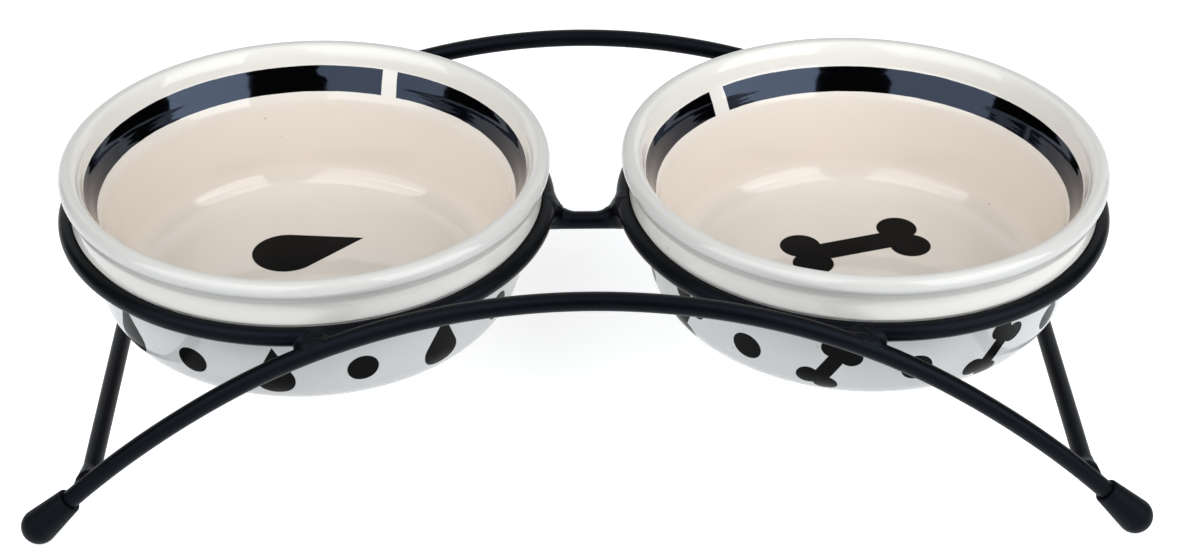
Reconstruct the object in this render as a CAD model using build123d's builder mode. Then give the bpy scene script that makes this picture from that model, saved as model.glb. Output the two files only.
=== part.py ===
# Double pet bowl: two glazed stoneware bowls that lift out of a black wire stand.
# The stand is two rings, two bowed arches and three straight bars of one round wire,
# welded where they meet, with a rubber cap pushed on to each of the four wire ends.
# Millimetres, +Z up, the floor at z = 0, origin on the floor midway between the bowls.
import os
from math import acos, asin, atan, atan2, cos, degrees, hypot, radians, sin, sqrt, tan

from build123d import *

# Wire stand
rod_diameter = 5.6            # powder-coated steel wire
ring_height = 69.0            # ring centre line above the floor
ring_gap = 19.0               # clear space between the two rings
crown_rise = 15.0             # arch centre line above the ring centre line, at the middle
crossing_inset = 10.9         # the arch is level with the ring this far inside a bowl's centre
leg_start = 18.0              # the flatter leg bow starts this far outside a bowl's centre
leg_radius = 300.0            # bow of a leg
weld_gap = 0.15               # nearest distance between two welded wires
centre_bar_forward = 2.5      # centre bar in front of the line through the bowl centres
centre_bar_overlap = 2.2      # centre bar past each ring's centre line
end_bar_above_cap = 8.5       # end bar's centre from the cap's mouth, along the leg

# Weld beads
weld_bead_radius = 3.3        # bead where two wires cross
end_bead_swell = 1.7          # collar of weld round an end bar, proud of the wire
end_bead_length = 4.5
end_bead_wrap = 0.7           # the collar stops this far short of the leg's centre plane

# Rubber caps
cap_mouth_wall = 1.1          # rubber round the wire at the open end
cap_mouth_round = 0.5
cap_bulb_radius = 5.4         # rounded closed end
cap_bulb_distance = 13.9      # cap's mouth to the bulb's centre
cap_end_wall = 3.7            # rubber past the end of the wire
cap_fit = 0.05                # between wire and rubber, all round
sole_depth = 0.35             # slice taken off the bulb where it stands on the floor

# Bowls
rim_diameter = 150.0          # over the rolled rim
rim_bead_diameter = 5.5       # rolled rim
rim_above_ring = 18.35        # top of the rim above the ring centre line
rim_overhang = 3.1            # rim past the collar
rim_groove_round = 1.6        # hollow below the rolled rim
collar_flare = 20.0           # degrees, inside of the collar
body_step = 2.4               # outside of the body inside the collar, at the ring centre line
body_draft = 10.0             # degrees, outside of the body
inner_draft = 10.0            # degrees, inside of the body
shoulder_above_ring = 1.0     # lower edge of the flare inside the collar
underside_below_ring = 34.7   # underside of the bowl's floor
floor_thickness = 5.0
cove_radius = 11.3            # inside corner between wall and floor
foot_inset = 2.5              # foot ring inside the rounded corner
foot_width = 5.0
foot_height = 1.5
foot_round = 0.5
seat_angle = 45.0             # degrees, cone below the collar that sits on the ring
seat_inset = 0.4              # line of contact inside the collar's edge
seat_clearance = 0.3          # between bowl and ring
seat_round = 0.8              # lower edge of the collar
neck_round = 1.5              # below the seat, outside
shoulder_round = 8.0          # inside, between the flare and the body

# Values that follow from those above
rod_radius = rod_diameter / 2
rim_radius = rim_diameter / 2
collar_radius = rim_radius - rim_overhang
seat_offset = rod_radius + seat_clearance
seat_dr = seat_offset * cos(radians(seat_angle))
seat_dz = seat_offset * sin(radians(seat_angle))
body_radius = collar_radius - body_step
ring_radius = collar_radius - seat_inset + seat_dr
bowl_x = ring_radius + rod_radius + ring_gap / 2

# Arch: a crown arc that passes level with the rings, then a flatter bow down to each foot
crossing_x = bowl_x - crossing_inset
crown_radius = (crossing_x**2 + crown_rise**2) / (2 * crown_rise)
crown_z = ring_height + crown_rise
leg_x = bowl_x + leg_start
leg_angle = asin(leg_x / crown_radius)
leg_centre_x = leg_x - leg_radius * sin(leg_angle)
leg_centre_z = crown_z - crown_radius + (crown_radius - leg_radius) * cos(leg_angle)

# The leg ends where the cap's bulb, cut flat, stands on the floor
cap_grip = cap_bulb_distance + cap_bulb_radius - cap_end_wall
bulb_z = cap_bulb_radius - sole_depth
bulb_reach = hypot(leg_radius, cap_bulb_distance)
mouth_angle = acos((bulb_z - leg_centre_z) / bulb_reach) - atan(cap_bulb_distance / leg_radius)
mouth_x = leg_centre_x + leg_radius * sin(mouth_angle)
mouth_z = leg_centre_z + leg_radius * cos(mouth_angle)

# The arches stand beside the rings, a weld gap away at the nearest point
ring_slope = crossing_inset / sqrt(ring_radius**2 - crossing_inset**2)
arch_slope = crossing_x / sqrt(crown_radius**2 - crossing_x**2)
pitch_slope = hypot(ring_slope, arch_slope)
stand_off = (rod_diameter + weld_gap) * pitch_slope / arch_slope
arch_y = sqrt(ring_radius**2 - crossing_inset**2) + stand_off

sides = (("left", -1), ("right", 1))
rows = (("front", -1), ("rear", 1))
os.makedirs("parts", exist_ok=True)


def finish(piece, name):
    """Label a finished piece and write it out."""
    piece.part.label = name
    export_step(piece.part, f"parts/{name}.step")


def wall_radius(z):
    """Outside of the bowl's body at a height over the ring centre line."""
    return body_radius + z * tan(radians(body_draft))


# Bowl section, radius across and height over the ring centre line up
bead_radius = rim_bead_diameter / 2
bead_r = rim_radius - bead_radius
bead_z = rim_above_ring - bead_radius
bead_start = degrees(acos((collar_radius - bead_r) / bead_radius))
bead_foot_z = bead_z - bead_radius * sin(radians(bead_start))
lip = (
    bead_r - bead_radius * cos(radians(collar_flare)),
    bead_z + bead_radius * sin(radians(collar_flare)),
)

seat_slope = tan(radians(seat_angle))
seat_r = ring_radius - seat_dr
collar_low_z = seat_dz + (collar_radius - seat_r) * seat_slope
neck_z = (body_radius - seat_r + seat_dz / seat_slope) / (1 / seat_slope - tan(radians(body_draft)))
neck = (wall_radius(neck_z), neck_z)

underside_z = -underside_below_ring
body_corner_radius = cove_radius + floor_thickness
body_corner = (wall_radius(underside_z), underside_z)
corner_reach = body_corner_radius * tan(radians(90 - body_draft) / 2)
foot_outer = body_corner[0] - corner_reach - foot_inset
foot_inner = foot_outer - foot_width
foot_z = underside_z - foot_height

shoulder_r = lip[0] - (lip[1] - shoulder_above_ring) * tan(radians(collar_flare))
shoulder = (shoulder_r, shoulder_above_ring)
floor_z = underside_z + floor_thickness
cove_corner = (shoulder_r - (shoulder_above_ring - floor_z) * tan(radians(inner_draft)), floor_z)

outside = [
    (0, underside_z),
    (foot_inner, underside_z),
    (foot_inner, foot_z),
    (foot_outer, foot_z),
    (foot_outer, underside_z),
    body_corner,
    neck,
    (collar_radius, collar_low_z),
    (collar_radius, bead_foot_z),
]
inside = [lip, shoulder, cove_corner, (0, floor_z)]
rounds = [(corner, foot_round) for corner in outside[1:5]] + [
    (body_corner, body_corner_radius),
    (neck, neck_round),
    (outside[7], seat_round),
    (outside[8], rim_groove_round),
    (shoulder, shoulder_round),
    (cove_corner, cove_radius),
]

for side, sign in sides:
    with BuildPart() as bowl:
        axis_foot = (sign * bowl_x, 0, ring_height)
        with BuildSketch(Plane(axis_foot, x_dir=(1, 0, 0), z_dir=(0, -1, 0))) as section:
            with BuildLine():
                Polyline(*outside)
                CenterArc((bead_r, bead_z), bead_radius, -bead_start, 180 - collar_flare + bead_start)
                Polyline(*inside)
                Line(inside[-1], outside[0])
            make_face()
            for corner, radius in rounds:
                fillet(section.vertices().sort_by_distance(corner)[0], radius)
        revolve(axis=Axis(axis_foot, (0, 0, 1)))
    finish(bowl, f"{side}_bowl")

# Rings: closed hoops of wire
rings = {}
for side, sign in sides:
    with BuildPart() as ring:
        hoop_centre = (sign * bowl_x, 0, ring_height)
        with BuildSketch(Plane(hoop_centre, x_dir=(1, 0, 0), z_dir=(0, -1, 0))):
            with Locations((ring_radius, 0)):
                Circle(rod_radius)
        revolve(axis=Axis(hoop_centre, (0, 0, 1)))
    finish(ring, f"{side}_ring")
    rings[side] = ring.part

# Arches: one bent wire each, from cap to cap
arches = {}
for row, sign in rows:
    with BuildPart() as arch:
        with BuildLine(Plane((0, sign * arch_y, 0), x_dir=(1, 0, 0), z_dir=(0, -1, 0))) as bow:
            crown = JernArc((0, crown_z), (1, 0), crown_radius, -degrees(leg_angle))
            leg = JernArc(crown @ 1, crown % 1, leg_radius, -degrees(mouth_angle - leg_angle))
            Line(leg @ 1, leg @ 1 + (leg % 1) * cap_grip)
            mirror(about=Plane.YZ)
        wire_path = bow.wire()
        with BuildSketch(Plane(wire_path @ 0, x_dir=(0, sign, 0), z_dir=wire_path % 0)):
            Circle(rod_radius)
        sweep(path=wire_path)
    finish(arch, f"{row}_arch")
    arches[row] = arch.part

# Centre bar: a straight wire under both rings
ring_inner_x = bowl_x - sqrt(ring_radius**2 - centre_bar_forward**2)
centre_bar_z = ring_height - rod_diameter - weld_gap
with BuildPart() as centre_bar:
    with BuildSketch(Plane((0, -centre_bar_forward, centre_bar_z), z_dir=(1, 0, 0))):
        Circle(rod_radius)
    extrude(amount=ring_inner_x + centre_bar_overlap, both=True)
finish(centre_bar, "centre_bar")

# End bars: straight wires between the front and the rear leg, just above the caps
bar_angle = mouth_angle - end_bar_above_cap / leg_radius
end_bar_x = leg_centre_x + leg_radius * sin(bar_angle)
end_bar_z = leg_centre_z + leg_radius * cos(bar_angle)
end_bar_half = arch_y - rod_radius - weld_gap
end_bars = {}
for side, sign in sides:
    with BuildPart() as end_bar:
        with BuildSketch(Plane((sign * end_bar_x, 0, end_bar_z), z_dir=(0, 1, 0))):
            Circle(rod_radius)
        extrude(amount=end_bar_half, both=True)
    finish(end_bar, f"{side}_end_bar")
    end_bars[side] = end_bar.part

# Weld beads between the rings and the arches, at the nearest point of the two wires
weld_x = crossing_x + ring_slope * stand_off / pitch_slope**2
weld_z = crown_z - crown_radius + sqrt(crown_radius**2 - weld_x**2)
ring_share = ring_radius / hypot(weld_x - bowl_x, arch_y)
bead_x = (weld_x + bowl_x + (weld_x - bowl_x) * ring_share) / 2
bead_y = arch_y * (1 + ring_share) / 2
bead_height = (weld_z + ring_height) / 2
with BuildPart() as ring_welds:
    with Locations((bead_x, -bead_y, bead_height)):
        Sphere(weld_bead_radius)
    add(rings["right"], mode=Mode.SUBTRACT)
    add(arches["front"], mode=Mode.SUBTRACT)
    mirror(about=Plane.YZ)
    mirror(about=Plane.XZ)
finish(ring_welds, "ring_welds")

# Weld beads in the corner between each ring and the top of the centre bar
corner_x = ring_inner_x - rod_radius
corner_z = (ring_height + centre_bar_z) / 2
with BuildPart() as centre_bar_welds:
    with Locations((corner_x, -centre_bar_forward, corner_z)):
        Sphere(weld_bead_radius)
    add(rings["right"], mode=Mode.SUBTRACT)
    add(centre_bar.part, mode=Mode.SUBTRACT)
    mirror(about=Plane.YZ)
finish(centre_bar_welds, "centre_bar_welds")

# Collars of weld round the ends of the end bars, saddled on the legs
collar_root = arch_y - end_bead_wrap
collar_tip = end_bar_half - end_bead_length
with BuildPart() as end_bar_welds:
    with BuildSketch(Plane((end_bar_x, -collar_root, end_bar_z), z_dir=(0, 1, 0))):
        Circle(rod_radius + end_bead_swell)
    with BuildSketch(Plane((end_bar_x, -collar_tip, end_bar_z), z_dir=(0, 1, 0))):
        Circle(rod_radius + weld_gap)
    loft()
    add(arches["front"], mode=Mode.SUBTRACT)
    add(end_bars["right"], mode=Mode.SUBTRACT)
    mirror(about=Plane.YZ)
    mirror(about=Plane.XZ)
finish(end_bar_welds, "end_bar_welds")

# Feet: rubber caps with a rounded end, cut flat where they stand on the floor
mouth_radius = rod_radius + cap_fit + cap_mouth_wall
taper_reach = hypot(cap_bulb_distance, mouth_radius)
taper_touch = atan2(mouth_radius, cap_bulb_distance) + acos(cap_bulb_radius / taper_reach)
touch = (
    cap_bulb_radius * sin(taper_touch),
    cap_bulb_distance - cap_bulb_radius * cos(taper_touch),
)
bore_radius = rod_radius + cap_fit
for row, j in rows:
    for side, i in sides:
        with BuildPart() as foot:
            mouth = (i * mouth_x, j * arch_y, mouth_z)
            along = (i * cos(mouth_angle), 0, -sin(mouth_angle))
            normal = (-sin(mouth_angle), 0, -i * cos(mouth_angle))
            with BuildSketch(Plane(mouth, x_dir=(0, 1, 0), z_dir=normal)) as half:
                with BuildLine():
                    Polyline((0, cap_grip + cap_fit), (bore_radius, cap_grip + cap_fit), (bore_radius, 0))
                    Polyline((bore_radius, 0), (mouth_radius, 0), touch)
                    bulb_sweep = degrees(taper_touch) - 180
                    CenterArc((0, cap_bulb_distance), cap_bulb_radius, degrees(taper_touch) - 90, -bulb_sweep)
                    Line((0, cap_bulb_distance + cap_bulb_radius), (0, cap_grip + cap_fit))
                make_face()
                fillet(half.vertices().sort_by_distance((mouth_radius, 0))[0], cap_mouth_round)
            revolve(axis=Axis(mouth, along))
            split(bisect_by=Plane.XY, keep=Keep.TOP)
        finish(foot, f"{row}_{side}_foot")
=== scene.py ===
from math import acos, asin, atan, atan2, cos, hypot, pi, radians, sin, sqrt, tan

import bmesh
import bpy
import numpy as np
from mathutils import Matrix, Vector, noise


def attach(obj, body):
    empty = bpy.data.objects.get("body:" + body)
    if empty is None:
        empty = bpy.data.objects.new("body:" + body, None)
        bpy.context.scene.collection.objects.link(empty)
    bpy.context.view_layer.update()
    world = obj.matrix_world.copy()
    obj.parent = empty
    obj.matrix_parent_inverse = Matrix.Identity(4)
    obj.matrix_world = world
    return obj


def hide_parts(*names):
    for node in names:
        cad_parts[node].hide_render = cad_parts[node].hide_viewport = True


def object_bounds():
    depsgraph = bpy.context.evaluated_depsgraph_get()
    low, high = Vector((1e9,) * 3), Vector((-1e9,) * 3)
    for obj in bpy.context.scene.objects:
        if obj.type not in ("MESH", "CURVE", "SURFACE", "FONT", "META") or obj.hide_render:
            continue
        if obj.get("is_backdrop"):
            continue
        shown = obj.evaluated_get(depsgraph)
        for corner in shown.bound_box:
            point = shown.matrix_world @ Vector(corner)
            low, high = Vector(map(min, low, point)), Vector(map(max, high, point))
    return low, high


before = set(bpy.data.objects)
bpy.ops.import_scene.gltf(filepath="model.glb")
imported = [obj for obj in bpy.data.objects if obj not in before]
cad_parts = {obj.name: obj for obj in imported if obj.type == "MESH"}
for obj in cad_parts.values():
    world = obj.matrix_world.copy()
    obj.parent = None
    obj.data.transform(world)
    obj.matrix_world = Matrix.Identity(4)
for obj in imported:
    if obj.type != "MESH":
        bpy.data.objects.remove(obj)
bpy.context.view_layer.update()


# Rings: two closed hoops of round steel wire, bent to a circle and butt-welded, that carry the bowls.
# The stand is powder-coated satin black once all its welding is done, so every wire has this finish.
mm = 0.001
sides = (("left", -1), ("right", 1))
rod_radius = 2.8 * mm
ring_radius = 73.692 * mm
ring_height = 69.0 * mm
bowl_x = 85.992 * mm
ring_steps = 320
wire_sides = 32
butt_swell = 0.16 * mm
butt_length = 1.6 * mm
butt_angle = radians(62)
crease_angle = radians(38)


class Shade:
    """An output of a material's nodes. Sums and products of these add their Math nodes."""

    def __init__(self, tree, socket=None):
        self.tree = tree
        self.socket = socket

    def node(self, kind, settings=None, values=None, output=0):
        """Add a node: its settings first, then the values or links of its sockets."""
        made = self.tree.nodes.new(kind)
        for name, value in (settings or {}).items():
            setattr(made, name, value)
        for name, value in (values or {}).items():
            if isinstance(value, Shade):
                self.tree.links.new(value.socket, made.inputs[name])
            else:
                made.inputs[name].default_value = value
        return Shade(self.tree, made.outputs[output] if made.outputs else None)

    def math(self, operation, *terms):
        return self.node("ShaderNodeMath", {"operation": operation}, dict(enumerate(terms)))

    def mix(self, share, first, second):
        """A colour that goes from the first to the second."""
        return self.node("ShaderNodeMix", {"data_type": "RGBA"}, {0: share, 6: first, 7: second}, 2)

    def waves(self, spot, scale, detail=2.0):
        """Soft noise from 0 to 1, with so many waves to the metre."""
        return self.node("ShaderNodeTexNoise", {}, {"Vector": spot, "Scale": scale, "Detail": detail})

    def below(self, limit, soft):
        """1 where this value is under the limit and 0 above it, over a soft edge."""
        return self.node("ShaderNodeMapRange", {"interpolation_type": "SMOOTHSTEP"}, {
            "Value": self, "From Min": limit - soft, "From Max": limit + soft, "To Min": 1.0, "To Max": 0.0})

    def least(self, other):
        return self.math("MINIMUM", self, other)

    def most(self, other):
        return self.math("MAXIMUM", self, other)

    def __add__(self, other):
        return self.math("ADD", self, other)

    def __sub__(self, other):
        return self.math("SUBTRACT", self, other)

    def __rsub__(self, other):
        return self.math("SUBTRACT", other, self)

    def __mul__(self, other):
        return self.math("MULTIPLY", self, other)

    def __truediv__(self, other):
        return self.math("DIVIDE", self, other)

    def __rtruediv__(self, other):
        return self.math("DIVIDE", other, self)

    def __pow__(self, other):
        return self.math("POWER", self, other)

    def __abs__(self):
        return self.math("ABSOLUTE", self)

    __radd__ = __add__
    __rmul__ = __mul__


def paint(red, green, blue):
    """A colour as it looks on a screen, each part from 0 to 255."""
    parts = [c / 255 for c in (red, green, blue)]
    return [((c + 0.055) / 1.055) ** 2.4 if c > 0.04045 else c / 12.92 for c in parts] + [1.0]


def new_finish(name):
    """A material without nodes, and what its nodes are added to."""
    made = bpy.data.materials.new(name)
    made.use_nodes = True
    made.node_tree.nodes.clear()
    return made, Shade(made.node_tree)


def powder_coat():
    """Satin black powder coat: a fine orange peel, a little duller in places."""
    made, nodes = new_finish("black_powder_coat")
    spot = nodes.node("ShaderNodeTexCoord", output="Object")
    cloud = nodes.waves(spot, 70.0, 3.0)
    peel = nodes.waves(spot, 1100.0)
    lift = nodes.node("ShaderNodeBump", {}, {"Height": peel, "Strength": 0.25, "Distance": 0.1 * mm})
    black = nodes.mix(cloud, paint(3, 3, 4), paint(8, 8, 10))
    coat = nodes.node("ShaderNodeBsdfPrincipled", {}, {
        "Base Color": black, "Roughness": 0.32 + 0.12 * cloud, "Normal": lift,
        "Specular IOR Level": 0.1, "Specular Tint": paint(200, 222, 255)})
    nodes.node("ShaderNodeOutputMaterial", {}, {"Surface": coat})
    return made


def wire(path, across, radii, closed=False):
    """Skin of a round wire along a path in one plane, to which the direction across is square."""
    count = len(path)
    points, faces = [], []
    for i, point in enumerate(path):
        before = path[i - 1] if closed or i else point
        after = path[(i + 1) % count] if closed or i < count - 1 else point
        out = across.cross((after - before).normalized())
        for k in range(wire_sides):
            turn = 2 * pi * k / wire_sides
            points.append(point + (across * cos(turn) + out * sin(turn)) * radii[i])
    for i in range(count if closed else count - 1):
        low, high = i * wire_sides, (i + 1) % count * wire_sides
        for k in range(wire_sides):
            n = (k + 1) % wire_sides
            faces.append((low + k, low + n, high + n, high + k))
    if not closed:
        faces.append(tuple(range(wire_sides)))
        faces.append(tuple(range((count - 1) * wire_sides, count * wire_sides)))
    return points, faces


def add_skin(shape, skin):
    """Add the points and faces of a skin to a mesh in the making."""
    points, faces = skin
    made = [shape.verts.new(point) for point in points]
    for face in faces:
        shape.faces.new([made[k] for k in face])


def assemble(name, skins, finish, body, slot, *nodes):
    """Make one piece of one or more skins, and let it stand for its nodes of the frame."""
    shape = bmesh.new()
    for skin in skins:
        add_skin(shape, skin)
    bmesh.ops.recalc_face_normals(shape, faces=shape.faces)
    for face in shape.faces:
        face.smooth = True
    for edge in shape.edges:
        edge.smooth = len(edge.link_faces) == 2 and edge.calc_face_angle() < crease_angle
    mesh = bpy.data.meshes.new(name)
    shape.to_mesh(mesh)
    shape.free()
    mesh.materials.append(finish)
    piece = bpy.data.objects.new(name, mesh)
    bpy.context.scene.collection.objects.link(piece)
    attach(piece, body)
    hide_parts(*nodes)


def assemble_coated(name, skins, node):
    """Make one powder-coated piece of the stand."""
    assemble(name, skins, black_coat, "stand", "black_powder_coat", node)


black_coat = powder_coat()
for side, sign in sides:
    hoop, girth = [], []
    for k in range(ring_steps):
        turn = 2 * pi * k / ring_steps
        hoop.append(Vector((sign * (bowl_x + ring_radius * cos(turn)), ring_radius * sin(turn), ring_height)))
        from_butt = ring_radius * (turn - butt_angle) / butt_length
        girth.append(rod_radius + butt_swell * 2 ** -(from_butt**2))
    skin = wire(hoop, Vector((0, 0, 1)), girth, closed=True)
    assemble_coated(f"{side}_ring_wire", [skin], f"{side}_ring")


# Arches: the front and the rear wire, each one length bent over a crown and down to two feet.
# They stand just outside the rings, touch them near the crown and are welded there.
rows = (("front", -1), ("rear", 1))
crown_z = 84.0 * mm
crossing_x = bowl_x - 10.9 * mm
crown_radius = (crossing_x**2 + (crown_z - ring_height) ** 2) / (2 * (crown_z - ring_height))
leg_radius = 300.0 * mm
leg_start_x = bowl_x + 18.0 * mm
leg_angle = asin(leg_start_x / crown_radius)
leg_centre_x = (crown_radius - leg_radius) * sin(leg_angle)
leg_centre_z = crown_z - crown_radius + (crown_radius - leg_radius) * cos(leg_angle)
arch_y = 78.992 * mm
bulb_radius = 5.4 * mm
bulb_distance = 13.9 * mm
sole_flat = 0.35 * mm
bulb_z = bulb_radius - sole_flat
bulb_angle = acos((bulb_z - leg_centre_z) / hypot(leg_radius, bulb_distance))
mouth_angle = bulb_angle - atan(bulb_distance / leg_radius)
mouth_x = leg_centre_x + leg_radius * sin(mouth_angle)
mouth_z = leg_centre_z + leg_radius * cos(mouth_angle)
wire_end = 15.6 * mm
end_chamfer = 0.4 * mm
crown_steps = 72
leg_steps = 40


def half_arch(y):
    """Centre line of an arch from its crown to the end inside the right-hand cap."""
    points = []
    for k in range(crown_steps + 1):
        turn = leg_angle * k / crown_steps
        points.append(Vector((crown_radius * sin(turn), y, crown_z - crown_radius * (1 - cos(turn)))))
    for k in range(1, leg_steps + 1):
        turn = leg_angle + (mouth_angle - leg_angle) * k / leg_steps
        x = leg_centre_x + leg_radius * sin(turn)
        points.append(Vector((x, y, leg_centre_z + leg_radius * cos(turn))))
    along = Vector((cos(mouth_angle), 0, -sin(mouth_angle)))
    mouth = points[-1]
    return points + [mouth + along * reach for reach in (wire_end / 2, wire_end - end_chamfer, wire_end)]


for row, sign in rows:
    right_half = half_arch(sign * arch_y)
    left_half = [Vector((-p.x, p.y, p.z)) for p in right_half[:0:-1]]
    bow = left_half + right_half
    girth = [rod_radius] * len(bow)
    girth[0] = girth[-1] = rod_radius - end_chamfer
    skin = wire(bow, Vector((0, 1, 0)), girth)
    assemble_coated(f"{row}_arch_wire", [skin], f"{row}_arch")


# Bars: a short wire under both rings, and a long one from leg to leg at each end of the stand.
# They are sheared to length, so their ends have a small burr-free chamfer, and welded on.
weld_gap = 0.15 * mm
centre_bar_y = -2.5 * mm
centre_bar_z = ring_height - 2 * rod_radius - weld_gap
ring_inner_x = bowl_x - sqrt(ring_radius**2 - centre_bar_y**2)
bar_past_ring = 2.2 * mm
centre_bar_half = ring_inner_x + bar_past_ring
bar_above_cap = 8.5 * mm
bar_angle = mouth_angle - bar_above_cap / leg_radius
end_bar_x = leg_centre_x + leg_radius * sin(bar_angle)
end_bar_z = leg_centre_z + leg_radius * cos(bar_angle)
end_bar_half = arch_y - rod_radius - weld_gap
bar_steps = 8


def bar(middle, along, half):
    """Skin of a straight wire with chamfered ends."""
    between = [half * k / bar_steps for k in range(1 - bar_steps, bar_steps)]
    reach = [-half, end_chamfer - half] + between + [half - end_chamfer, half]
    girth = [rod_radius] * len(reach)
    girth[0] = girth[-1] = rod_radius - end_chamfer
    return wire([middle + along * r for r in reach], Vector((0, 0, 1)), girth)


skin = bar(Vector((0, centre_bar_y, centre_bar_z)), Vector((1, 0, 0)), centre_bar_half)
assemble_coated("centre_bar_wire", [skin], "centre_bar")
for side, sign in sides:
    skin = bar(Vector((sign * end_bar_x, 0, end_bar_z)), Vector((0, 1, 0)), end_bar_half)
    assemble_coated(f"{side}_end_bar_wire", [skin], f"{side}_end_bar")


# Welds: beads of weld metal in the corners where two wires meet, under the same powder coat.
# Each is a hand-made lump, so the wires' surfaces run together in it unevenly.
bead_shift = 1.6 * mm
ring_bead = Vector((78.9, 76.3, 68.3)) * mm
bar_bead = Vector((ring_inner_x - rod_radius, centre_bar_y + bead_shift, (ring_height + centre_bar_z) / 2))
leg_bead = Vector((end_bar_x + bead_shift, end_bar_half - bead_shift, end_bar_z))
ring_bead_size = (7.6, 4.2, 0.75, 0.8)
bar_bead_size = (8.6, 7.4, 0.25, 0.4)
leg_bead_size = (5.8, 3.8, 0.4, 0.3)
bead_steps = 80
edge_sink = 2.4
lumps = 2.6


def off_ring(p):
    """Distance of points from the surface of the right-hand ring."""
    return np.hypot(np.hypot(p[:, 0] - bowl_x, p[:, 1]) - ring_radius, p[:, 2] - ring_height) - rod_radius


def off_crown(p):
    """Distance of points from the surface of the rear arch, near its crown."""
    from_centre = np.hypot(p[:, 0], p[:, 2] - crown_z + crown_radius)
    return np.hypot(from_centre - crown_radius, p[:, 1] - arch_y) - rod_radius


def off_leg(p):
    """Distance of points from the surface of the rear arch's right-hand leg."""
    from_centre = np.hypot(p[:, 0] - leg_centre_x, p[:, 2] - leg_centre_z)
    return np.hypot(from_centre - leg_radius, p[:, 1] - arch_y) - rod_radius


def off_centre_bar(p):
    """Distance of points from the surface of the centre bar or from its end."""
    side = np.hypot(p[:, 1] - centre_bar_y, p[:, 2] - centre_bar_z) - rod_radius
    return np.maximum(side, p[:, 0] - centre_bar_half)


def off_end_bar(p):
    """Distance of points from the surface of the right-hand end bar or from its end."""
    side = np.hypot(p[:, 0] - end_bar_x, p[:, 2] - end_bar_z) - rod_radius
    return np.maximum(side, p[:, 1] - end_bar_half)


def bead(centre, first, second, size, seed, flip):
    """Skin of one bead: two wires run together round a point, proud there and sunk at its edge.
    Its size in mm is its reach, the run from wire to wire, how proud it is and how lumpy."""
    reach, run, proud, lump = (part * mm for part in size)
    ball = bmesh.new()
    bmesh.ops.create_icosphere(ball, subdivisions=5, radius=1)
    ball.verts.index_update()
    ways = np.array([v.co for v in ball.verts])
    faces = [tuple(v.index for v in face.verts) for face in ball.faces]
    ball.free()
    uneven = np.array([noise.noise(Vector(way) * lumps + Vector((seed, 0, 0))) for way in ways]) * lump
    middle = np.array(centre)
    out = np.full(len(ways), reach)
    inside = np.ones(len(ways), bool)
    last = np.full(len(ways), -1.0)
    step = reach / bead_steps
    for k in range(bead_steps + 1):
        spot = middle + ways * (k * step)
        a, b = first(spot), second(spot)
        share = np.clip(0.5 + 0.5 * (b - a) / run, 0, 1)
        skin = b + (a - b) * share - run * share * (1 - share)
        fade = k / bead_steps
        over = skin - (proud * (1 - edge_sink * fade**2) + uneven * (1 - fade))
        leaves = inside & (over > 0) & (k > 0)
        out[leaves] = (k - over[leaves] / (over[leaves] - last[leaves])) * step
        inside &= ~leaves
        last = over
    points = (middle + ways * out[:, None]) * np.array(flip)
    return [Vector(p) for p in points], faces


corners = [(i, j) for _, i in sides for _, j in rows]
skins = []
for k, (i, j) in enumerate(corners):
    skins.append(bead(ring_bead, off_ring, off_crown, ring_bead_size, 7 * k, (i, j, 1)))
assemble_coated("ring_weld_beads", skins, "ring_welds")
skins = []
for k, (_, i) in enumerate(sides):
    skins.append(bead(bar_bead, off_ring, off_centre_bar, bar_bead_size, 31 + k, (i, 1, 1)))
assemble_coated("centre_bar_weld_beads", skins, "centre_bar_welds")
skins = []
for k, (i, j) in enumerate(corners):
    skins.append(bead(leg_bead, off_end_bar, off_leg, leg_bead_size, 53 + k, (i, j, 1)))
assemble_coated("end_bar_weld_beads", skins, "end_bar_welds")


# Feet: caps of soft black rubber, moulded in one and pushed on to the four ends of the wires.
# Each has an open mouth that grips the wire and a round end with a small flat where it stands.
bore_gap = 0.05 * mm
bore_radius = rod_radius + bore_gap
bore_end = wire_end + bore_gap
mouth_wall = 1.1 * mm
mouth_radius = bore_radius + mouth_wall
mouth_round = 0.5 * mm
bore_round = 0.2 * mm
cap_steps = 96


def black_rubber():
    """Matt black rubber with a fine grain, faintly greyed by handling."""
    made, nodes = new_finish("black_rubber")
    spot = nodes.node("ShaderNodeTexCoord", output="Object")
    cloud = nodes.waves(spot, 240.0, 4.0)
    grain = nodes.waves(spot, 2600.0)
    lift = nodes.node("ShaderNodeBump", {}, {"Height": grain, "Strength": 0.3, "Distance": 0.06 * mm})
    black = nodes.mix(cloud, paint(4, 4, 5), paint(10, 10, 12))
    rubber = nodes.node("ShaderNodeBsdfPrincipled", {}, {
        "Base Color": black, "Roughness": 0.46 + 0.14 * cloud, "Normal": lift,
        "Specular IOR Level": 0.1, "Specular Tint": paint(200, 222, 255)})
    nodes.node("ShaderNodeOutputMaterial", {}, {"Surface": rubber})
    return made


def arc(centre, radius, start, end, steps):
    """Points of an arc in a section, angles from the first axis."""
    turns = [start + (end - start) * k / steps for k in range(steps + 1)]
    return [(centre[0] + radius * cos(t), centre[1] + radius * sin(t)) for t in turns]


def turned(section, place, steps):
    """Skin turned from a section of radius and height, round the third axis of a place."""
    points, faces, loops = [], [], []
    for radius, height in section:
        first = len(points)
        around = steps if radius > 1e-7 else 1
        loops.append([first + k for k in range(around)])
        for k in range(around):
            turn = 2 * pi * k / steps
            points.append(place @ Vector((radius * cos(turn), radius * sin(turn), height)))
    for low, high in zip(loops, loops[1:]):
        for k in range(steps):
            n = (k + 1) % steps
            face = [low[k % len(low)], low[n % len(low)], high[n % len(high)], high[k % len(high)]]
            faces.append(tuple(dict.fromkeys(face)))
    return points, faces


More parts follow.
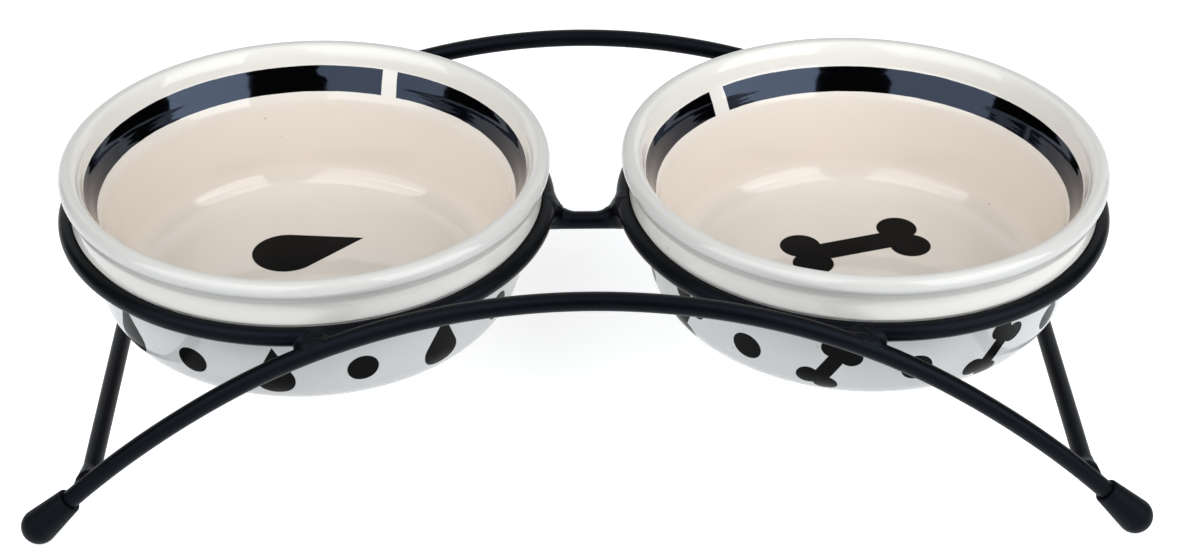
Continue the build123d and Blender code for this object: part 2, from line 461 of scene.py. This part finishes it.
def stood_flat(skin):
    """The part of a skin above the floor, closed by a flat sole."""
    shape = bmesh.new()
    add_skin(shape, skin)
    whole = [*shape.verts, *shape.edges, *shape.faces]
    bmesh.ops.bisect_plane(shape, geom=whole, plane_co=(0, 0, 0), plane_no=(0, 0, 1), clear_inner=True)
    bmesh.ops.edgeloop_fill(shape, edges=[edge for edge in shape.edges if edge.is_boundary])
    shape.verts.index_update()
    points = [v.co.copy() for v in shape.verts]
    faces = [tuple(v.index for v in face.verts) for face in shape.faces]
    shape.free()
    return points, faces


rubber = black_rubber()
taper_touch = atan2(mouth_radius, bulb_distance) + acos(bulb_radius / hypot(bulb_distance, mouth_radius))
cap_section = [(0.0, bore_end), (bore_radius, bore_end), (bore_radius, wire_end / 2)]
cap_section += arc((bore_radius + bore_round, bore_round), bore_round, pi, 1.5 * pi, 4)
cap_section += arc((mouth_radius - mouth_round, mouth_round), mouth_round, -pi / 2, taper_touch - pi / 2, 6)
cap_section += arc((0.0, bulb_distance), bulb_radius, taper_touch - pi / 2, pi / 2, 36)
cap_section[-1] = (0.0, cap_section[-1][1])
for row, j in rows:
    for side, i in sides:
        along = Vector((i * cos(mouth_angle), 0, -sin(mouth_angle)))
        across = Vector((0, 1, 0))
        turn = Matrix((across.cross(along), across, along)).transposed().to_4x4()
        place = Matrix.Translation((i * mouth_x, j * arch_y, mouth_z)) @ turn
        skin = stood_flat(turned(cap_section, place, cap_steps))
        assemble(f"{row}_{side}_cap", [skin], rubber, "stand", "black_rubber", f"{row}_{side}_foot")


# Bowls: stoneware, jiggered to one section and dipped in a cream glaze, with a rolled rim, a flared
# collar and a dry foot ring. A glossy black stripe with one gap is painted inside, and motifs are printed
# in dull black. Each hangs loose in its ring on the cone below its collar.
rim_radius = 75.0 * mm
rim_bead = 2.9 * mm
rim_top = 17.87 * mm
collar_radius = 72.13 * mm
draft = radians(10)
body_radius = 69.5 * mm
neck_z = 0.236 * mm
neck_round = 1.5 * mm
collar_foot = (72.52 * mm, 3.212 * mm, 0.8 * mm)
collar_top = (72.157 * mm, 7.39 * mm, 0)
underside_z = -34.7 * mm
corner_round = 16.3 * mm
floor_z = -29.7 * mm
cove_r = 58.6 * mm
cove_round = 11.3 * mm
# Each bend of the lip, from the rim down: its length in mm, and its lean from upright where it ends.
lip_bends = (
    (2.28, 45), (3.1, 15.5), (2.6, 8), (0.5, 26), (2.2, 30), (2.6, 19.5), (2.2, 21.5), (4.35, 20.5), (0.8, 9))
lip_step = 0.4
neck_more = {"left": 0.0, "right": 1.0}
foot_depth = 1.5 * mm
foot_width = 5.0 * mm
foot_inset = 2.5 * mm
foot_round = 0.5 * mm
bowl_steps = 320
longest_run = 2.4 * mm
rim_sway = 0.05 * mm
sway_scale = 16
sway_from = 12 * mm
stripes = {"left": (3.42, 11.25), "right": (2.35, 10.02)}
gaps = {"left": (20.0, 5.2), "right": (-39.0, 6.0)}
motif_pitch = 2 * pi / 8
motif_shift = {"left": 0.12, "right": 0.3}
# The finish is laid out in mm from the bowl's axis and the height of its ring.
wall_middle = 66.7
lip_outer = 69.5
corner_middle = 49.7
foot_dry = -35.85
drop_size = (5.9, 13.6)
floor_drop_size = (11.0, 26.0)
bone_size = (2.5, 7.4, 3.7)
floor_bone_size = (4.6, 17.0, 6.6)
bone_rise = 2.5
dot_radius = 4.8
dot_rise = 3.0
speck_scale = 210.0


def rounded(corners, steps=6):
    """A section's corners, each with its radius, as points with the corners rounded."""
    points = []
    for k, (r, z, radius) in enumerate(corners):
        corner = Vector((r, z))
        if not radius:
            points.append((r, z))
            continue
        back = (Vector(corners[k - 1][:2]) - corner).normalized()
        ahead = (Vector(corners[k + 1][:2]) - corner).normalized()
        half = back.angle(ahead) / 2
        middle = corner + (back + ahead).normalized() * radius / sin(half)
        start = corner + back * radius / tan(half) - middle
        end = corner + ahead * radius / tan(half) - middle
        sweep = start.angle_signed(end)
        count = max(4, round(steps * abs(sweep) * (1 + radius / (4 * mm))))
        first = atan2(start.y, start.x)
        points += arc(middle, radius, first, first - sweep, count)
    return points


def divided(points, longest):
    """A section's points with its long straight runs divided."""
    out = [points[0]]
    for a, b in zip(points, points[1:]):
        run, rise = b[0] - a[0], b[1] - a[1]
        count = max(1, round(hypot(run, rise) / longest))
        out += [(a[0] + run * k / count, a[1] + rise * k / count) for k in range(1, count + 1)]
    return out


bead_r = rim_radius - rim_bead
bead_z = rim_top - rim_bead
corner_r = body_radius + underside_z * tan(draft)
foot_outer = corner_r - corner_round * tan((pi / 2 - draft) / 2) - foot_inset
foot_inner = foot_outer - foot_width
outside = rounded([
    (0.0, underside_z, 0), (foot_inner, underside_z, foot_round),
    (foot_inner, underside_z - foot_depth, foot_round), (foot_outer, underside_z - foot_depth, foot_round),
    (foot_outer, underside_z, foot_round), (corner_r, underside_z, corner_round),
    (body_radius + neck_z * tan(draft), neck_z, neck_round), collar_foot, collar_top])
groove = 7.0 * mm
groove_start = pi + radians(5)
groove_r = collar_radius + groove
groove_reach = rim_bead + groove
groove_z = bead_z - sqrt(groove_reach**2 - (groove_r - bead_r) ** 2)
groove_end = atan2(bead_z - groove_z, bead_r - groove_r)
rim_start = atan2(groove_z - bead_z, groove_r - bead_r)
outside += arc((groove_r, groove_z), groove, groove_start, groove_end, 16)[1:]
outside += arc((bead_r, bead_z), rim_bead, rim_start, pi / 2, 30)[1:]


def bowl_section(more):
    """The whole section from the underside's middle round the rim to the floor's middle."""
    inside = [outside[-1]]
    lean = pi / 2
    for k, (length, end) in enumerate(lip_bends):
        length += {2: more, 7: -more}.get(k, 0.0)
        count = max(2, round(length / lip_step))
        for step in range(count):
            r, z = inside[-1]
            here = lean + (radians(end) - lean) * (step + 0.5) / count
            inside.append((r - length / count * mm * sin(here), z - length / count * mm * cos(here)))
        lean = radians(end)
    inside += rounded([(*inside[-1], 0), (cove_r, floor_z, cove_round), (0.0, floor_z, 0)])[1:]
    return divided(outside + inside[1:], longest_run)


def leaning(s, t, straight, aside):
    """A place on a surface as seen from axes that lean."""
    return s * straight + t * aside, t * straight - s * aside


def drop(s, t, size, tip):
    """Distance from the edge of a drop with a round foot at the origin and its tip up."""
    lean = asin(size / tip)
    foot = (s * s + t * t) ** 0.5 - size
    flank = abs(s) * cos(lean) + t * sin(lean) - size
    at_foot = (t * cos(lean) - abs(s) * sin(lean)).below(0.0, 0.01)
    return foot * at_foot + flank * (1 - at_foot)


def bone(s, t, shaft, length, knob):
    """Distance from the edge of a bone round the origin, lying along s."""
    side = abs(t)
    end = abs(s) - length
    rod = (side - shaft).most(end)
    off = side - knob * 0.82
    return rod.least((end * end + off * off) ** 0.5 - knob)


def glaze(side, sign):
    """Glossy cream glaze with fine specks, a glossy black stripe and motifs in dull black."""
    made, nodes = new_finish(f"{side}_bowl_glaze")
    spot = nodes.node("ShaderNodeTexCoord", output="Object")
    x, y, z = (nodes.node("ShaderNodeSeparateXYZ", {}, {0: spot}, axis) for axis in "XYZ")
    x = (x - sign * bowl_x) / mm
    y = y / mm
    z = (z - ring_height) / mm
    r = (x * x + y * y) ** 0.5
    outer = 1 - (r - z * tan(draft)).below(wall_middle, 0.3)

    wave = nodes.waves(spot, 130.0) - 0.5
    ripple = nodes.waves(spot, 420.0) - 0.5
    edge = wave * 0.3 + ripple * 0.1
    stripe_low, stripe_high = stripes[side]
    middle = (stripe_low + stripe_high) / 2
    half = (stripe_high - stripe_low) / 2
    band = abs(z - middle + edge).below(half, 0.09) * r.below(lip_outer, 0.3)
    gap_way, gap_width = gaps[side]
    from_gap = abs((x.math("ARCTAN2", x, y) - radians(gap_way)) * r + edge * 2.0 + (z - middle) * 0.06)
    stripe = band * (1 - from_gap.below(gap_width / 2, 0.09))

    bend = corner_round / mm
    wall_end = underside_z / mm + bend * (1 - sin(draft))
    curl = (z.math("ARCTAN2", underside_z / mm + bend - z, r - corner_middle) - draft) * -bend
    low = z.below(wall_end, 0.01)
    t = curl * low + (z - wall_end) / cos(draft) * (1 - low)
    turn = x.math("ARCTAN2", x, 0 - y) / motif_pitch + motif_shift[side]
    s = turn.math("WRAP", turn, 0.5, -0.5) * r * motif_pitch
    between = turn.math("WRAP", turn + 0.5, 0.5, -0.5) * r * motif_pitch
    if side == "left":
        motif = drop(s, t, *drop_size)
        along, aside = leaning(x, y, 0.94, 0.34)
        emblem = drop(aside - 19.4, along + 3.6, *floor_drop_size)
    else:
        motif = bone(*leaning(s, t - bone_rise, 0.5, 0.87), *bone_size)
        along, aside = leaning(x, y, 0.95, 0.3)
        emblem = bone(along - 7.6, aside - 17.4, *floor_bone_size)
    above = t - dot_rise
    dot = (between * between + above * above) ** 0.5 - dot_radius
    motif = motif.least(dot).below(0.0, 0.12) * outer
    emblem = emblem.below(0.0, 0.15) * abs(z - floor_z / mm).below(0.8, 0.2)
    printed = motif.most(emblem)

    cloud = nodes.waves(spot, 34.0, 3.0)
    cells = nodes.node("ShaderNodeTexVoronoi", {}, {"Vector": spot, "Scale": speck_scale})
    draw = nodes.node("ShaderNodeTexVoronoi", {}, {"Vector": spot, "Scale": speck_scale}, "Color")
    few = nodes.node("ShaderNodeSeparateColor", {}, {0: draw}, "Red").below(0.03, 0.001)
    specks = cells.below(0.07, 0.03) * few
    dry = z.below(foot_dry, 0.12)
    peel = nodes.waves(spot, 95.0)
    pores = nodes.waves(spot, 1500.0, 3.0)
    lift = nodes.node("ShaderNodeBump", {}, {
        "Height": peel * 0.9 + pores * dry * 0.2 + pores * 0.004, "Strength": 0.8, "Distance": 0.12 * mm})
    # Painted light: the inside below the collar is painted a warmer cream than the outside, for warm light
    # bounced round the hollow.
    painted_bounce_inside = z.below(1.5, 4.0) * (1 - outer)
    body = nodes.mix(painted_bounce_inside, paint(232, 228, 222), paint(237, 223, 212))
    # Painted shade: the inner floor is painted a darker, greyer cream, so that it reads less bright where it
    # faces up.
    body = nodes.mix(z.below(-26.0, 4.0) * (1 - outer), body, paint(224, 215, 205))
    body = nodes.mix(cloud * 0.25, body, paint(226, 218, 208))
    # Painted shade: the rim above the collar is painted a darker grey-cream, to tone down the light it
    # catches.
    body = nodes.mix((1 - z.below(13.0, 1.0)) * (1 - r.below(71.0, 0.7)), body, paint(211, 208, 204))
    # Painted shade: the outside below the ring is painted a cooler, darker grey-cream, standing in for the
    # bluish light bounced up from the floor.
    body = nodes.mix(z.below(0.0, 2.0) * outer, body, paint(219, 217, 215))
    body = nodes.mix(specks * 0.6, body, paint(150, 118, 92))
    body = nodes.mix(dry, body, paint(214, 194, 170))
    cream_glaze = nodes.node("ShaderNodeBsdfPrincipled", {}, {
        "Base Color": body, "Roughness": 0.015 + cloud * 0.03 + dry * 0.7, "Normal": lift, "IOR": 1.52})
    strokes = z.math("SINE", z * 4.8 + wave * 4.0)
    brushed = nodes.node("ShaderNodeBump", {}, {
        "Height": peel * 0.9 + strokes * 0.018, "Strength": 0.8, "Distance": 0.12 * mm})
    black = nodes.mix(cloud, paint(2, 2, 3), paint(5, 5, 6))
    black_glaze = nodes.node("ShaderNodeBsdfPrincipled", {}, {
        "Base Color": black, "Roughness": 0.05 + cloud * 0.04, "Normal": brushed, "IOR": 1.55,
        "Specular Tint": paint(196, 216, 255)})
    black_ink = nodes.node("ShaderNodeBsdfPrincipled", {}, {
        "Base Color": black, "Roughness": 0.16 + cloud * 0.1, "Normal": lift, "Specular IOR Level": 0.04})
    surface = nodes.node("ShaderNodeMixShader", {}, {0: stripe, 1: cream_glaze, 2: black_glaze})
    surface = nodes.node("ShaderNodeMixShader", {}, {0: printed, 1: surface, 2: black_ink})
    nodes.node("ShaderNodeOutputMaterial", {}, {"Surface": surface})
    return made


for side, sign in sides:
    place = Matrix.Translation((sign * bowl_x, 0, ring_height))
    points, faces = turned(bowl_section(neck_more[side]), place, bowl_steps)
    for point in points:
        sway = noise.noise(point * sway_scale + Vector((sign * 3, 0, 0)))
        point.z -= rim_sway * (1 + sway) * (point.z > ring_height + sway_from)
    assemble(f"{side}_bowl_glazed", [(points, faces)], glaze(side, sign), f"{side}_bowl", "cream_glaze",
             f"{side}_bowl")


# Studio: a plain white floor in a white room, two tall softboxes left and right of the camera, and a
# black curtain behind them that keeps the space between dark. The camera stands where the photograph
# was taken from.
floor_size = 60.0
floor_below = 0.1 * mm
pool_reach = 0.85
pool_soft = 0.5
pool_glow = (0.78, 0.78, 0.78, 1)
full_white = (1, 1, 1, 1)
# Each softbox: its name, the lower and upper end of its inner edge, the way outward, its width and level.
softboxes = (
    ("left_softbox_low", (-0.225, -0.77, 0.12), (-0.12, -0.69, 0.58), (-0.802, 0.597, 0.0), 0.9, 2.1),
    ("left_softbox_high", (-0.12, -0.69, 0.58), (0.012, -0.46, 1.1), (-0.802, 0.597, 0.0), 0.9, 2.6),
    ("right_softbox_low", (0.30, -0.55, 0.12), (0.295, -0.54, 0.58), (0.606, 0.795, 0.0), 0.55, 3.4),
    ("right_softbox_high", (0.295, -0.54, 0.58), (0.27, -0.40, 1.1), (0.606, 0.795, 0.0), 0.6, 2.85),
)
curtain_line = ((-1.3, 1.2), (-1.3, -0.7), (-0.8, -1.2), (0.8, -1.2), (1.3, -0.7), (1.3, 1.2))
curtain_height = 2.0
lamp_colour = (0.94, 0.98, 1.0)
room_level = 0.2
camera_place = Vector((-0.015085, -0.678299, 0.485882))
camera_lens = 76.75
camera_right = Vector((0.99971, -0.02449, 0.00702))
camera_up = Vector((0.00758, 0.54921, 0.83571))


def white_rays(nodes):
    """1 for the rays that see the studio as white: the camera's, those of gloss and those through glass."""
    camera, mirrored, through = (nodes.node("ShaderNodeLightPath", output=f"Is {ray} Ray")
                                 for ray in ("Camera", "Glossy", "Transmission"))
    return camera.most(mirrored).most(through)


def white_floor():
    """A pale matt floor that is white to the camera and in reflections, where no shadow falls."""
    made, nodes = new_finish("studio_floor")
    spot = nodes.node("ShaderNodeTexCoord", output="Object")
    cloud = nodes.waves(spot, 3.0)
    x, y = (nodes.node("ShaderNodeSeparateXYZ", {}, {0: spot}, axis) for axis in "XY")
    away = (x * x + y * y) ** 0.5
    shine = nodes.mix(away.below(pool_reach, pool_soft), full_white, pool_glow)
    glow = nodes.node("ShaderNodeEmission", {}, {"Color": shine, "Strength": 1.0})
    pale = nodes.mix(cloud, paint(206, 209, 213), paint(210, 213, 217))
    matt = nodes.node("ShaderNodeBsdfDiffuse", {}, {"Color": pale})
    lit = nodes.node("ShaderNodeAddShader", {}, {0: matt, 1: glow})
    surface = nodes.node("ShaderNodeMixShader", {}, {0: white_rays(nodes), 1: matt, 2: lit})
    nodes.node("ShaderNodeOutputMaterial", {}, {"Surface": surface})
    return made


def black_curtain():
    """Matt black cloth that swallows the light behind the softboxes."""
    made, nodes = new_finish("studio_curtain")
    spot = nodes.node("ShaderNodeTexCoord", output="Object")
    cloud = nodes.waves(spot, 3.0)
    black = nodes.mix(cloud, paint(9, 9, 10), paint(15, 15, 16))
    cloth = nodes.node("ShaderNodeBsdfDiffuse", {}, {"Color": black})
    nodes.node("ShaderNodeOutputMaterial", {}, {"Surface": cloth})
    return made


def studio_piece(name, points, faces, finish):
    """Make a plain sheet of the studio."""
    mesh = bpy.data.meshes.new(name)
    mesh.from_pydata(points, [], faces)
    mesh.materials.append(finish)
    made = bpy.data.objects.new(name, mesh)
    bpy.context.scene.collection.objects.link(made)
    return made


half = floor_size / 2
spread = [(-half, -half, 0), (half, -half, 0), (half, half, 0), (-half, half, 0)]
floor = studio_piece("studio_floor", spread, [(0, 1, 2, 3)], white_floor())
floor.location.z = -floor_below
floor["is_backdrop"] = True

room = bpy.data.worlds.new("studio_room")
room.use_nodes = True
room.node_tree.nodes.clear()
nodes = Shade(room.node_tree)
white = white_rays(nodes)
level = white + (1 - white) * room_level
surface = nodes.node("ShaderNodeBackground", {}, {"Color": full_white, "Strength": level})
nodes.node("ShaderNodeOutputWorld", {}, {"Surface": surface})
bpy.context.scene.world = room

hung = [(x, y, z) for z in (0.0, curtain_height) for x, y in curtain_line]
count = len(curtain_line)
widths = [(k, k + 1, count + k + 1, count + k) for k in range(count - 1)]
curtain = studio_piece("studio_curtain", hung, widths, black_curtain())
curtain.visible_camera = False
curtain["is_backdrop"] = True

for name, low, high, outward, width, level in softboxes:
    rise = Vector(high) - Vector(low)
    up = rise.normalized()
    out = Vector(outward)
    out = (out - up * out.dot(up)).normalized()
    across = out if out.x > 0 else -out
    lamp = bpy.data.lights.new(name, "AREA")
    lamp.shape = "RECTANGLE"
    lamp.size = width
    lamp.size_y = rise.length
    lamp.energy = level * pi * width * rise.length
    lamp.color = lamp_colour
    stand = bpy.data.objects.new(name, lamp)
    middle = Vector(low) + rise / 2 + out * width / 2
    face = Matrix((across, up, across.cross(up))).transposed().to_4x4()
    stand.matrix_world = Matrix.Translation(middle) @ face
    stand.visible_camera = False
    bpy.context.scene.collection.objects.link(stand)

lens = bpy.data.cameras.new("photo_camera")
lens.lens = camera_lens
lens.sensor_width = 36.0
lens.clip_start = 0.01
camera = bpy.data.objects.new("photo_camera", lens)
bpy.context.scene.collection.objects.link(camera)
camera_back = camera_right.cross(camera_up)
turn = Matrix((camera_right, camera_up, camera_back)).transposed().to_4x4()
camera.matrix_world = Matrix.Translation(camera_place) @ turn
bpy.context.scene.camera = camera
bpy.context.scene.view_settings.view_transform = "Standard"

low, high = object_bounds()
